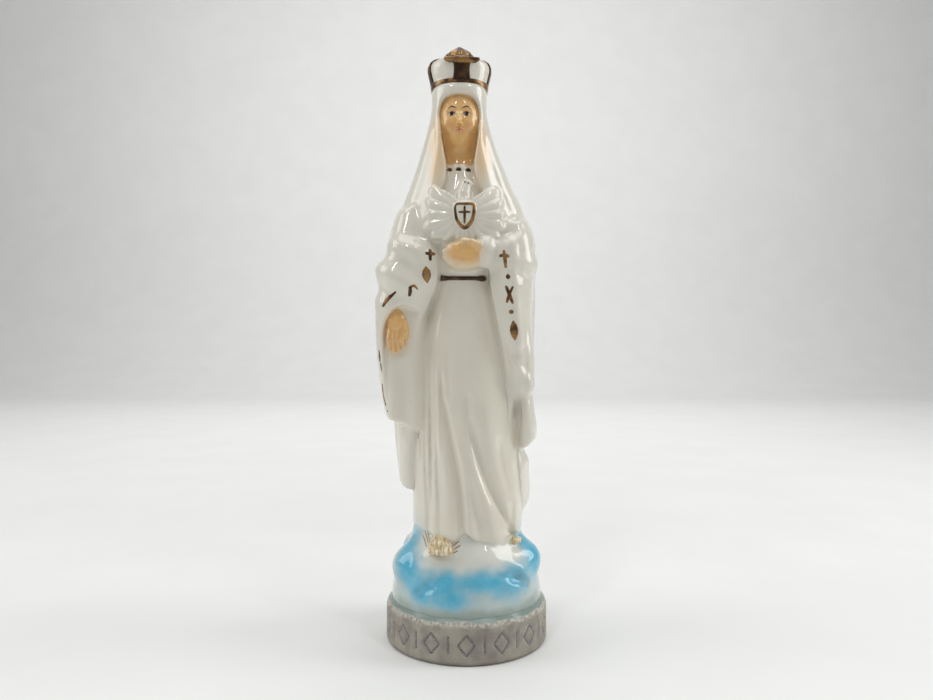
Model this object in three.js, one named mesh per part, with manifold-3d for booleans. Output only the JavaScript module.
// Madonna statuette in glazed porcelain: a hollow cast figure in a hooded mantle, with a crown,
// a spread-winged bird with a shield on her breast, a cloud under her feet and a round plinth.
// The porcelain is divided where a modeller divides it: garment by garment, hand by hand.
//
// Millimetres. +Z is up, -Y is the figure's front, +X is the figure's left hand. The shapes are
// laid out about the plinth's axis, then moved so that the origin is under the middle of the
// whole figure, because the mantle hangs further out on the right than on the left.

import * as THREE from "three";
import { mergeVertices } from "three/addons/utils/BufferGeometryUtils.js";
import Module from "manifold-3d";

const wasm = await Module();
wasm.setup();

// ---------------------------------------------------------------- driving dimensions

const GAP = 0.3; // clearance between neighbouring pieces
const WALL = 3.2; // thickness of the cast porcelain
const TRIM = 0.6; // thickness of the gilt relief on the crown

const PLINTH_RADIUS = 27;
const PLINTH_TOP = 15.6;
const CLOUD_TOP = 39;
const MANTLE_HEM = 45;
const SHOULDER = 147; // where the hood ends and the mantle begins
const BELT = 120;
const NECKLINE = 157;
const BROW = 179.5; // top of the hood's face opening
const CROWN_FOOT = 183.6;
const BAND_HEIGHT = 2.4;
const CAP_TOP = 195.6;
const KNOB_TOP = 199.9;
const HEAD_X = -2.4; // the figure sways: the head stands a little to its right
const CROWN_RADIUS = 9.2;
const CROWN_DEPTH = 0.9; // the crown is oval: its depth over its width
const CROWN_TURN = THREE.MathUtils.degToRad(5);

const RIGHT_REACH = 30.2; // how far the right drape hangs out from the plinth's axis
const OFF_CENTRE = (RIGHT_REACH - PLINTH_RADIUS) / 2;

const FAR = 60; // reach of cutting bodies past the figure

// Cross-sections are rounded rectangles, one a row:
// [height, right-hand side, left-hand side, front, back]. The figure's right hand is at -X.
const ROBE = [
  [33.5, -15.6, 16.4, -17.6, 15.2],
  [37, -17.6, 18.2, -18.4, 16.2],
  [45, -18.0, 18.6, -18.2, 16.0],
  [60, -17.6, 17.2, -17.0, 15.0],
  [80, -16.6, 15.6, -16.0, 14.0],
  [100, -14.8, 13.0, -15.2, 13.0],
  [112, -13.2, 10.6, -14.4, 12.2],
  [120, -12.4, 9.6, -13.8, 12.0],
  [130, -13.4, 10.2, -13.6, 12.2],
  [140, -13.4, 9.8, -13.4, 12.0],
  [148, -11.0, 7.4, -12.0, 10.6],
  [154, -8.4, 4.0, -9.6, 8.0],
  [158, -7.0, 2.4, -7.8, 6.0],
];

const MANTLE = [
  [MANTLE_HEM, -22.4, 20.6, -13.6, 16.6],
  [54, -23.2, 20.4, -14.6, 17.2],
  [64, -23.8, 21.4, -15.0, 17.4],
  [80, -24.0, 22.0, -15.2, 17.2],
  [100, -25.0, 22.2, -15.2, 17.0],
  [118, -26.0, 22.8, -15.0, 16.8],
  [130, -26.6, 23.2, -14.6, 16.6],
  [138.5, -24.3, 21.0, -14.0, 15.8],
  [SHOULDER - GAP, -21.2, 17.7, -12.8, 14.6],
];

const HOOD = [
  [SHOULDER, -21.1, 17.6, -12.8, 14.6],
  [151, -19.6, 15.6, -12.2, 14.0],
  [155.4, -18.0, 13.9, -11.4, 13.2],
  [163, -15.5, 10.6, -10.8, 12.0],
  [168.4, -14.0, 8.8, -10.6, 11.4],
  [176, -12.2, 7.2, -10.4, 10.6],
  [CROWN_FOOT - GAP, -11.9, 7.1, -9.6, 9.8],
];

const HEAD = [
  [151, -5.6, 1.0, -3.4, 3.6],
  [158.4, -6.2, 1.6, -4.4, 4.0],
  [162, -6.4, 2.0, -6.4, 4.4],
  [164.6, -7.0, 2.6, -9.0, 5.0],
  [169, -8.2, 3.8, -9.6, 6.4],
  [174, -8.6, 4.2, -9.4, 7.0],
  [179, -8.0, 3.6, -8.6, 6.8],
  [182.4, -6.2, 1.8, -6.4, 5.2],
];

const CLOUD = [
  [PLINTH_TOP + GAP, -25.0, 25.0, -25.0, 25.0],
  [19, -25.0, 25.0, -25.0, 24.8],
  [23, -23.4, 23.6, -23.8, 23.2],
  [28, -20.8, 21.4, -21.8, 20.8],
  [34, -19.2, 19.4, -20.0, 18.4],
  [CLOUD_TOP, -18.4, 18.7, -18.7, 16.8],
];

// The cast is drained, so the figure is hollow from the foot to the breast.
const CAVITY = [
  [-1, -23.2, 23.2, -23.2, 23.2],
  [12, -23.0, 23.0, -23.0, 23.0],
  [19, -21.0, 21.0, -21.0, 20.6],
  [28, -17.0, 17.0, -17.8, 17.0],
  [36, -13.4, 13.6, -14.0, 12.4],
  [60, -13.2, 13.0, -13.0, 11.6],
  [100, -11.0, 9.4, -11.6, 9.6],
  [120, -8.8, 6.4, -10.4, 8.6],
  [135, -8.4, 5.0, -9.4, 8.0],
  [144, -5.0, 1.6, -6.0, 5.0],
];

// The mantle's right side, thrown over the forearm and hanging from it.
const RIGHT_DRAPE = [
  [71.8, -25.2, -21.4, -7.4, 0.6],
  [74, -27.0, -19.8, -10.4, 3.4],
  [82, -28.1, -18.6, -12.6, 5.6],
  [95, -29.8, -17.2, -14.2, 6.6],
  [104, -RIGHT_REACH, -16.4, -15.0, 7.0],
  [111, -RIGHT_REACH, -14.4, -15.8, 7.4],
  [120, -30.0, -9.6, -17.0, 8.0],
  [126, -28.6, -9.2, -17.0, 8.0],
  [131, -26.8, -11.4, -15.6, 7.4],
  [136, -25.2, -15.6, -12.4, 5.4],
];

// The lining of the right sleeve, which shows in the drape's open front.
const RIGHT_SLEEVE = [
  [72.6, -24.6, -20.6, -9.2, -5.0],
  [76, -26.4, -19.2, -11.8, -4.2],
  [90, -27.6, -17.6, -13.8, -3.8],
  [104, -27.6, -16.2, -14.6, -3.6],
  [110, -25.6, -16.6, -14.4, -4.0],
];

// The mantle's left side, hanging over the raised forearm.
const LEFT_DRAPE = [
  [80.5, 16.2, 21.4, -8.0, 1.6],
  [84, 13.8, 22.4, -11.0, 4.2],
  [92, 12.0, 22.9, -13.2, 5.6],
  [104, 10.2, 21.8, -14.8, 6.2],
  [118, 8.2, 22.0, -16.2, 7.0],
  [126, 7.2, 23.4, -17.4, 7.6],
  [131, 7.4, 23.4, -16.8, 7.2],
  [136, 11.2, 21.9, -13.4, 5.4],
];

// A second fall of the mantle below it.
const LEFT_FALL = [
  [65.6, 16.8, 21.8, -4.0, 4.0],
  [68.5, 14.8, 23.6, -8.6, 6.2],
  [76, 14.4, 23.2, -10.0, 6.8],
  [81, 15.0, 22.2, -9.4, 6.6],
];

// Outlines seen from the front, as [x, height].
// The mantle's opening, from the hem up one side of the robe to the neck and down the other.
const MANTLE_OPENING = [
  [-16.4, 30],
  [-15.0, 60],
  [-13.6, 95],
  [-10.6, 108],
  [-8.8, 120],
  [-12.6, 133],
  [-13.6, 141],
  [-11.2, SHOULDER + 1],
  [8.6, SHOULDER + 1],
  [12.2, 141],
  [9.6, 133],
  [7.6, 120],
  [10.0, 104],
  [12.8, 86],
  [14.2, 62],
  [17.6, 48],
  [18.2, 30],
];

const FACE_OPENING = [
  [-9.4, SHOULDER - 2],
  [-6.9, 153],
  [-6.5, 158],
  [-7.9, 166],
  [-8.5, 172],
  [-7.6, 177],
  [-4.6, BROW],
  [-0.2, BROW],
  [3.0, 177],
  [4.0, 172],
  [3.3, 166],
  [1.9, 158],
  [2.8, 153],
  [6.6, SHOULDER - 2],
];

const SLEEVE_OPENING = [
  [-27.8, 70],
  [-28.0, 84],
  [-27.9, 100],
  [-27.0, 108],
  [-24.0, 111.6],
  [-19.4, 111.2],
  [-14.8, 111.6],
  [-13.8, 100],
  [-15.0, 70],
];

// One wing, from the shoulder at the bird's breast out to the tip and back along the feathers.
const WING = [
  [1.6, 143.4],
  [5.2, 145.6],
  [8.2, 149.2],
  [10.2, 149.6],
  [11.2, 147.2],
  [10.6, 145.2],
  [12.4, 144.0],
  [11.2, 141.8],
  [12.4, 140.2],
  [10.6, 138.4],
  [11.0, 136.4],
  [8.4, 135.4],
  [5.6, 134.0],
  [1.6, 133.6],
];
const BIRD_X = -0.6;

const SHIELD = [
  [-3.2, 143.2],
  [0, 143.8],
  [3.2, 143.2],
  [3.0, 139.6],
  [1.8, 137.0],
  [0, 135.4],
  [-1.8, 137.0],
  [-3.0, 139.6],
];
const SHIELD_FRONT = -18.4;
const SHIELD_THICKNESS = 1.4;

const LAPPET = [
  [7.2, 130.5],
  [15.6, 130.5],
  [16.6, 112],
  [17.8, 99],
  [14.6, 97.2],
  [10.4, 98.6],
  [8.4, 112],
];

// ---------------------------------------------------------------- glazes and metals

const porcelain = new THREE.MeshStandardMaterial({ color: 0xefece6, roughness: 0.12 });
const blueGlaze = new THREE.MeshStandardMaterial({ color: 0x8fc6d8, roughness: 0.12 });
const bisque = new THREE.MeshStandardMaterial({ color: 0xb3aaa0, roughness: 0.8 });
const flesh = new THREE.MeshStandardMaterial({ color: 0xd9b27c, roughness: 0.2 });
const gilt = new THREE.MeshStandardMaterial({
  color: 0x6b4420,
  roughness: 0.28,
  metalness: 0.8,
});

// ---------------------------------------------------------------- shape helpers

// A closed geometry as a solid that can be joined and cut.
function solid(geometry) {
  const bare = geometry.index ? geometry.toNonIndexed() : geometry.clone();
  bare.deleteAttribute("normal");
  bare.deleteAttribute("uv");
  const merged = mergeVertices(bare, 1e-4);
  return new wasm.Manifold(
    new wasm.Mesh({
      numProp: 3,
      vertProperties: new Float32Array(merged.attributes.position.array),
      triVerts: new Uint32Array(merged.index.array),
    }),
  );
}

// A point on the smooth curve through a table's rows, column by column.
function tableAt(rows, along) {
  const last = rows.length - 1;
  const span = Math.min(Math.floor(along), last - 1);
  const t = along - span;
  const pick = (i) => rows[Math.min(Math.max(i, 0), last)];
  const [a, b, c, d] = [pick(span - 1), pick(span), pick(span + 1), pick(span + 2)];
  return b.map(
    (_, k) =>
      0.5 *
      (2 * b[k] +
        (c[k] - a[k]) * t +
        (2 * a[k] - 5 * b[k] + 4 * c[k] - d[k]) * t * t +
        (3 * b[k] - a[k] - 3 * c[k] + d[k]) * t * t * t),
  );
}

// A closed body from stacked rings of points, each an array of Vector3 going anticlockwise
// seen from the last ring.
function stack(rings) {
  const sides = rings[0].length;
  const points = rings.flat();
  const middle = (ring) =>
    ring.reduce((sum, p) => sum.add(p), new THREE.Vector3()).divideScalar(sides);
  points.push(middle(rings[0]), middle(rings[rings.length - 1]));
  const foot = points.length - 2;
  const top = points.length - 1;
  const index = [];
  for (let j = 0; j < sides; j++) {
    const k = (j + 1) % sides;
    for (let i = 0; i < rings.length - 1; i++) {
      const [low, high] = [i * sides, (i + 1) * sides];
      index.push(low + j, low + k, high + k, low + j, high + k, high + j);
    }
    const end = (rings.length - 1) * sides;
    index.push(foot, k, j, top, end + j, end + k);
  }
  const geometry = new THREE.BufferGeometry().setFromPoints(points);
  return geometry.setIndex(index);
}

// A body through a table of rounded cross-sections, grown outward by a clearance.
// folds gives a wave round the body that deepens towards the foot.
function loft(rows, { grow = 0, sides = 24, steps = 1, square = 2.4, folds = null } = {}) {
  const rings = [];
  const last = (rows.length - 1) * steps;
  const [foot, top] = [rows[0][0], rows[rows.length - 1][0]];
  for (let i = 0; i <= last; i++) {
    const [z, right, left, front, back] = tableAt(rows, i / steps);
    const end = i === 0 ? -grow : i === last ? grow : 0;
    const ring = [];
    for (let j = 0; j < sides; j++) {
      const angle = (2 * Math.PI * j) / sides;
      const [c, s] = [Math.cos(angle), Math.sin(angle)];
      const fall = 1 - (z - foot) / (top - foot);
      const wave = folds ? folds.depth * fall * Math.cos(folds.count * angle) : 0;
      const reach = (v, half) => Math.sign(v) * Math.abs(v) ** (2 / square) * half;
      ring.push(
        new THREE.Vector3(
          (left + right) / 2 + reach(c, (left - right) / 2 + grow + wave),
          (back + front) / 2 + reach(s, (back - front) / 2 + grow + wave),
          z + end,
        ),
      );
    }
    rings.push(ring);
  }
  return solid(stack(rings));
}

// A rounded rod through points [x, y, z], with a radius at each, and domed ends.
function limb(points, radii, { grow = 0, sides = 10 } = {}) {
  const rows = points.map((p, i) => [...p, radii[i] + grow]);
  const steps = 2;
  const last = (rows.length - 1) * steps;
  const rings = [];
  const ringAt = (centre, along, radius) => {
    const out = new THREE.Vector3(0, 1, 0);
    const across = new THREE.Vector3().crossVectors(along, out).normalize();
    const up = new THREE.Vector3().crossVectors(along, across);
    return Array.from({ length: sides }, (_, j) => {
      const angle = (2 * Math.PI * j) / sides;
      return centre
        .clone()
        .addScaledVector(across, radius * Math.cos(angle))
        .addScaledVector(up, radius * Math.sin(angle));
    });
  };
  for (let i = 0; i <= last; i++) {
    const [x, y, z, radius] = tableAt(rows, i / steps);
    const centre = new THREE.Vector3(x, y, z);
    const ahead = new THREE.Vector3(...tableAt(rows, Math.min(i + 1, last) / steps).slice(0, 3));
    const behind = new THREE.Vector3(...tableAt(rows, Math.max(i - 1, 0) / steps).slice(0, 3));
    const along = ahead.sub(behind).normalize();
    const dome = (share) => ringAt(centre.clone().addScaledVector(along, share * radius), along, radius * 0.6);
    if (i === 0) rings.push(dome(-0.7));
    rings.push(ringAt(centre, along, radius));
    if (i === last) rings.push(dome(0.7));
  }
  return solid(stack(rings));
}

function ellipsoid([x, y, z], [rx, ry, rz], { grow = 0, tilt = 0, detail = 12 } = {}) {
  const ball = new THREE.SphereGeometry(1, detail, detail / 2);
  ball.scale(rx + grow, ry + grow, rz + grow).rotateY(tilt).translate(x, y, z);
  return solid(ball);
}

// An outline of [x, height] points carried straight from one depth to another.
function prism(outline, front, back, { smooth = 0, at = [0, 0] } = {}) {
  const corners = outline.map(([x, z]) => new THREE.Vector2(x + at[0], z + at[1]));
  const curve = new THREE.SplineCurve([...corners, corners[0]]);
  const shape = new THREE.Shape(smooth ? curve.getPoints(smooth).slice(0, -1) : corners);
  const body = new THREE.ExtrudeGeometry(shape, { depth: back - front, bevelEnabled: false });
  return solid(body.rotateX(Math.PI / 2).translate(0, back, 0));
}

function lathe(profile, { x = 0, sides = 32 } = {}) {
  const points = profile.map(([radius, z]) => new THREE.Vector2(radius, z));
  const turned = new THREE.LatheGeometry(points, sides);
  return solid(turned.rotateX(Math.PI / 2).translate(x, 0, 0));
}

function block([x0, x1], [y0, y1], [z0, z1]) {
  const box = new THREE.BoxGeometry(x1 - x0, y1 - y0, z1 - z0);
  return solid(box.translate((x0 + x1) / 2, (y0 + y1) / 2, (z0 + z1) / 2));
}

const above = (z) => block([-FAR, FAR], [-FAR, FAR], [z, z + 4 * FAR]);
const below = (z) => block([-FAR, FAR], [-FAR, FAR], [z - 4 * FAR, z]);
const mirrored = (outline) => outline.map(([x, z]) => [-x, z]).reverse();
const cut = (body, ...tools) => tools.reduce((left, tool) => left.subtract(tool), body);
const join = (first, ...others) => others.reduce((sum, other) => sum.add(other), first);

const figure = new THREE.Group();

// Adds a solid to the figure as one named piece: its largest body, without crumbs.
function piece(name, body, material) {
  const parts = body.decompose();
  const largest = parts.reduce((a, b) => (b.volume() > a.volume() ? b : a));
  const { vertProperties, triVerts } = largest.getMesh();
  const geometry = new THREE.BufferGeometry();
  geometry.setAttribute("position", new THREE.BufferAttribute(vertProperties, 3));
  geometry.setIndex(new THREE.BufferAttribute(triVerts, 1));
  geometry.translate(OFF_CENTRE, 0, 0);
  geometry.computeVertexNormals();
  const mesh = new THREE.Mesh(geometry, material);
  mesh.name = name;
  figure.add(mesh);
}

// ---------------------------------------------------------------- bodies cut by several pieces

const cavity = loft(CAVITY, { sides: 20 });
const robe = (grow) => loft(ROBE, { grow, sides: 30, folds: { count: 9, depth: 0.5 } });
const head = (grow) => loft(HEAD, { grow, sides: 18, square: 2.1 });
const rightDrape = (grow) => loft(RIGHT_DRAPE, { grow, sides: 18 });
const rightSleeve = (grow) => loft(RIGHT_SLEEVE, { grow, sides: 14 });
const leftDrape = (grow) => loft(LEFT_DRAPE, { grow, sides: 18 });
const leftFall = (grow) => loft(LEFT_FALL, { grow, sides: 14 });
const robeCut = robe(GAP);
const mantleCloth = (grow) =>
  cut(
    loft(MANTLE, { grow, sides: 30, folds: { count: 11, depth: 0.4 } }),
    prism(MANTLE_OPENING, -FAR, 2, { smooth: 28 }),
  );

// ---------------------------------------------------------------- plinth, cloud and feet

function makePlinth() {
  const foot = PLINTH_RADIUS - WALL;
  const profile = [
    [foot, 0],
    [PLINTH_RADIUS - 0.6, 0],
    [PLINTH_RADIUS, 0.9],
    [PLINTH_RADIUS, 10],
    [PLINTH_RADIUS - 0.3, 12.6],
    [PLINTH_RADIUS - 1.4, 14.8],
    [PLINTH_RADIUS - 2.6, PLINTH_TOP],
    [foot - 1, PLINTH_TOP],
    [foot, 12],
    [foot, 0],
  ];
  piece("plinth", lathe(profile), bisque);
}

const PUFFS = 9; // swellings round the cloud
const PUFF_REACH = 15.6;
const PUFF_RADIUS = 9.2;
const RIGHT_FOOT = [[-6.8, -19.2, 35.4], [4.2, 4.4, 2.8]];
const LEFT_FOOT = [[15.2, -13.4, 37.0], [2.6, 3.4, 1.9]];

function makeCloudAndFeet() {
  const feet = [RIGHT_FOOT, LEFT_FOOT].map(([at, size]) => ellipsoid(at, size, { grow: GAP }));
  const puffs = Array.from({ length: PUFFS }, (_, i) => {
    const angle = (2 * Math.PI * (i + 0.3)) / PUFFS;
    const size = PUFF_RADIUS - (i % 2) * 1.2;
    const [x, y] = [PUFF_REACH * Math.cos(angle), PUFF_REACH * Math.sin(angle)];
    return ellipsoid([x, y, 24.6 + (i % 3) * 1.6], [size, size, size * 0.8], { detail: 12 });
  });
  const mound = join(loft(CLOUD, { square: 2, sides: 28 }), ...puffs).intersect(
    above(PLINTH_TOP + GAP),
  );
  piece("cloud", cut(mound, robeCut, cavity, ...feet), blueGlaze);
  piece("right_foot", cut(ellipsoid(...RIGHT_FOOT), robeCut), flesh);
  piece("left_foot", cut(ellipsoid(...LEFT_FOOT), robeCut), flesh);
}

// ---------------------------------------------------------------- robe and belt

function makeRobe() {
  const whole = cut(robe(0), cavity, head(GAP));
  piece("robe_skirt", whole.intersect(below(BELT - GAP / 2)), porcelain);
  piece("robe_bodice", whole.intersect(above(BELT + GAP / 2)), porcelain);
}

// The cord at the waist shows only between the two falls of the mantle.
function makeBelt() {
  const thickness = 1.1;
  const band = cut(robe(GAP + thickness), robeCut, above(BELT + 0.6), below(BELT - 0.6));
  const front = block([-8.4, 6.6], [-FAR, 0], [BELT - FAR, BELT + FAR]);
  piece("belt", band.intersect(front), gilt);
}

// ---------------------------------------------------------------- mantle and hood

function makeMantle() {
  const falls = [rightDrape(GAP), rightSleeve(GAP), leftDrape(GAP), leftFall(GAP)];
  piece("mantle", cut(mantleCloth(0), robeCut, ...falls), porcelain);

  const face = prism(FACE_OPENING, -FAR, 1, { smooth: 28 });
  const hood = cut(loft(HOOD, { sides: 28 }), head(GAP), face, robeCut);
  piece("mantle_hood", hood, porcelain);
}

// ---------------------------------------------------------------- drapes over the arms

function makeDrapes() {
  const window = prism(SLEEVE_OPENING, -FAR, -9, { smooth: 22 });
  const sleeve = rightSleeve(0);
  const hand = rightHand(GAP);
  piece(
    "right_drape",
    cut(rightDrape(0), robeCut, window, rightSleeve(GAP), hand),
    porcelain,
  );
  piece("right_sleeve", cut(sleeve, robeCut, hand), porcelain);

  const lappet = prism(LAPPET, -FAR, -8, { smooth: 24 });
  const overLappet = loft(LEFT_DRAPE, { grow: 1.4, sides: 18 });
  const leftHandCut = leftHand(GAP);
  piece("left_drape", cut(leftDrape(0), robeCut, leftHandCut), porcelain);
  piece(
    "left_lappet",
    cut(overLappet.intersect(lappet), leftDrape(GAP), robeCut, mantleCloth(GAP), leftHandCut),
    porcelain,
  );
  piece("left_fall", cut(leftFall(0), robeCut, leftDrape(GAP)), porcelain);
}

// ---------------------------------------------------------------- hands

// The right hand hangs in its sleeve with the fingers down.
function rightHand(grow) {
  const palm = ellipsoid([-22.8, -14.6, 106], [3.0, 1.9, 4.4], { grow });
  const fingers = [-25.0, -23.5, -22.0, -20.6].map((x, i) => {
    const tip = 96.4 + Math.abs(i - 1.4) * 0.9;
    return limb(
      [
        [x * 0.98 - 0.4, -15.0, 105],
        [x, -15.2, 100.4],
        [x + 0.2, -14.8, tip],
      ],
      [0.9, 0.85, 0.7],
      { grow, sides: 8 },
    );
  });
  return join(palm, ...fingers);
}

// The left hand lies across the waist, palm in, with the fingers towards the right.
function leftHand(grow) {
  const palm = ellipsoid([2.8, -16.6, 128.2], [4.6, 2.6, 3.5], { grow, tilt: 0.08 });
  const fingers = [130.2, 128.7, 127.2, 125.8].map((z, i) => {
    const tip = -6.4 + Math.abs(i - 1.2) * 0.8;
    return limb(
      [
        [2.4, -17.2, z],
        [-2.0, -17.4, z + 0.3],
        [tip, -16.2, z],
      ],
      [1.1, 1.0, 0.8],
      { grow, sides: 8 },
    );
  });
  return join(palm, ...fingers);
}

function makeHands() {
  piece("right_hand", rightHand(0), flesh);
  piece("left_hand", cut(leftHand(0), robeCut), flesh);
}

// ---------------------------------------------------------------- head

function makeHead() {
  const nose = ellipsoid([HEAD_X + 0.2, -9.6, 171.2], [0.9, 1.3, 2.0], { detail: 8 });
  piece("head", join(head(0), nose), flesh);
}

// ---------------------------------------------------------------- the bird and its shield

function makeBird() {
  const bodyAt = [[BIRD_X, -13.6, 139], [3.8, 3.2, 6.6]];
  const headAt = [[BIRD_X + 0.4, -13.2, 149], [1.7, 2.0, 2.0]];
  const body = ellipsoid(...bodyAt);
  const bodyCut = ellipsoid(...bodyAt, { grow: GAP });
  const headCut = ellipsoid(...headAt, { grow: GAP });
  const handCut = leftHand(GAP);
  const drapeCuts = [rightDrape(GAP), leftDrape(GAP)];
  piece("bird_body", cut(body, robeCut, handCut, headCut), porcelain);
  piece("bird_head", cut(ellipsoid(...headAt), robeCut), porcelain);

  const relief = robe(2.1);
  const lappetCut = loft(LEFT_DRAPE, { grow: 1.4 + GAP, sides: 18 });
  const shoulderCut = above(SHOULDER - GAP).intersect(loft(HOOD, { grow: GAP, sides: 28 }));
  const sides = [
    ["bird_left_wing", WING],
    ["bird_right_wing", mirrored(WING)],
  ];
  for (const [name, outline] of sides) {
    const blade = prism(outline, -FAR, -6, { at: [BIRD_X, 0] }).intersect(relief);
    const others = [bodyCut, headCut, handCut, lappetCut, shoulderCut, mantleCloth(GAP)];
    piece(name, cut(blade, robeCut, ...others, ...drapeCuts), porcelain);
  }

  const back = SHIELD_FRONT + SHIELD_THICKNESS;
  const plate = prism(SHIELD, SHIELD_FRONT, back, { at: [BIRD_X, 0] });
  piece("shield", cut(plate, bodyCut, handCut), porcelain);

  const [armLength, armWidth, post] = [1.8, 0.35, 2.9];
  const [middle, bar] = [139.6, 140.4];
  const cross = [
    [-armWidth, middle - post],
    [armWidth, middle - post],
    [armWidth, bar - armWidth],
    [armLength, bar - armWidth],
    [armLength, bar + armWidth],
    [armWidth, bar + armWidth],
    [armWidth, middle + post],
    [-armWidth, middle + post],
    [-armWidth, bar + armWidth],
    [-armLength, bar + armWidth],
    [-armLength, bar - armWidth],
    [-armWidth, bar - armWidth],
  ];
  const face = SHIELD_FRONT - GAP;
  piece("shield_cross", prism(cross, face - 0.5, face, { at: [BIRD_X, 0] }), gilt);
}

// ---------------------------------------------------------------- crown

// The crown's white cap, a bulging cup closed by a low dome.
function capProfile(grow) {
  const foot = CROWN_FOOT + BAND_HEIGHT + GAP;
  return [
    [0, foot - grow],
    [CROWN_RADIUS - 0.4 + grow, foot - grow],
    [CROWN_RADIUS + 0.4 + grow, foot + 2],
    [CROWN_RADIUS + 0.9 + grow, foot + 4.2],
    [CROWN_RADIUS + 0.9 + grow, foot + 5.8],
    [CROWN_RADIUS + 0.1 + grow, foot + 7.2],
    [CROWN_RADIUS - 2.0 + grow * 0.7, foot + 8.3 + grow * 0.7],
    [CROWN_RADIUS - 5.2 + grow * 0.3, CAP_TOP - 0.3 + grow],
    [0, CAP_TOP + grow],
  ];
}

function makeCrown() {
  const band = [
    [CROWN_RADIUS - 1.6, CROWN_FOOT],
    [CROWN_RADIUS + 0.1, CROWN_FOOT],
    [CROWN_RADIUS + 0.5, CROWN_FOOT + BAND_HEIGHT],
    [CROWN_RADIUS - 1.6, CROWN_FOOT + BAND_HEIGHT],
    [CROWN_RADIUS - 1.6, CROWN_FOOT],
  ];
  const at = { x: HEAD_X, sides: 28 };
  const oval = (body) => body.scale([1, CROWN_DEPTH, 1]);
  piece("crown_band", oval(lathe(band, at)), gilt);
  piece("crown_cap", oval(lathe(capProfile(0), at)), porcelain);

  const rim = lathe(capProfile(GAP + TRIM), at);
  const under = lathe(capProfile(GAP), at);
  const foot = CROWN_FOOT + BAND_HEIGHT + GAP;
  const shell = cut(rim, under, below(foot));
  const straps = [
    ["crown_strap_front", 0, 6.2],
    ["crown_strap_left", 84, 3.8],
    ["crown_strap_back", 180, 3.2],
    ["crown_strap_right", 276, 3.8],
  ];
  const knobFoot = 4.9;
  for (const [name, degrees, width] of straps) {
    const slab = new THREE.BoxGeometry(width, 20, 30).translate(0, -10 - knobFoot, CAP_TOP - 8);
    slab.rotateZ(CROWN_TURN + THREE.MathUtils.degToRad(degrees)).translate(HEAD_X, 0, 0);
    piece(name, oval(shell.intersect(solid(slab))), gilt);
  }

  const crestSize = [12, 3.4, 1.7];
  const crest = new THREE.BoxGeometry(...crestSize).translate(0, -CROWN_RADIUS - 1, 191.8);
  crest.rotateZ(CROWN_TURN).translate(HEAD_X, 0, 0);
  const overStraps = lathe(capProfile(2 * GAP + TRIM), at);
  piece("crown_crest", oval(cut(solid(crest), overStraps)), gilt);

  const knob = [
    [0, CAP_TOP + GAP],
    [4.5, CAP_TOP + GAP],
    [4.4, CAP_TOP + 1.2],
    [2.9, CAP_TOP + 2.4],
    [0.9, KNOB_TOP - 0.4],
    [0, KNOB_TOP],
  ];
  piece("crown_knob", oval(lathe(knob, { x: HEAD_X, sides: 16 })), gilt);
}

makePlinth();
makeCloudAndFeet();
makeRobe();
makeBelt();
makeMantle();
makeDrapes();
makeHands();
makeHead();
makeBird();
makeCrown();

export default figure;
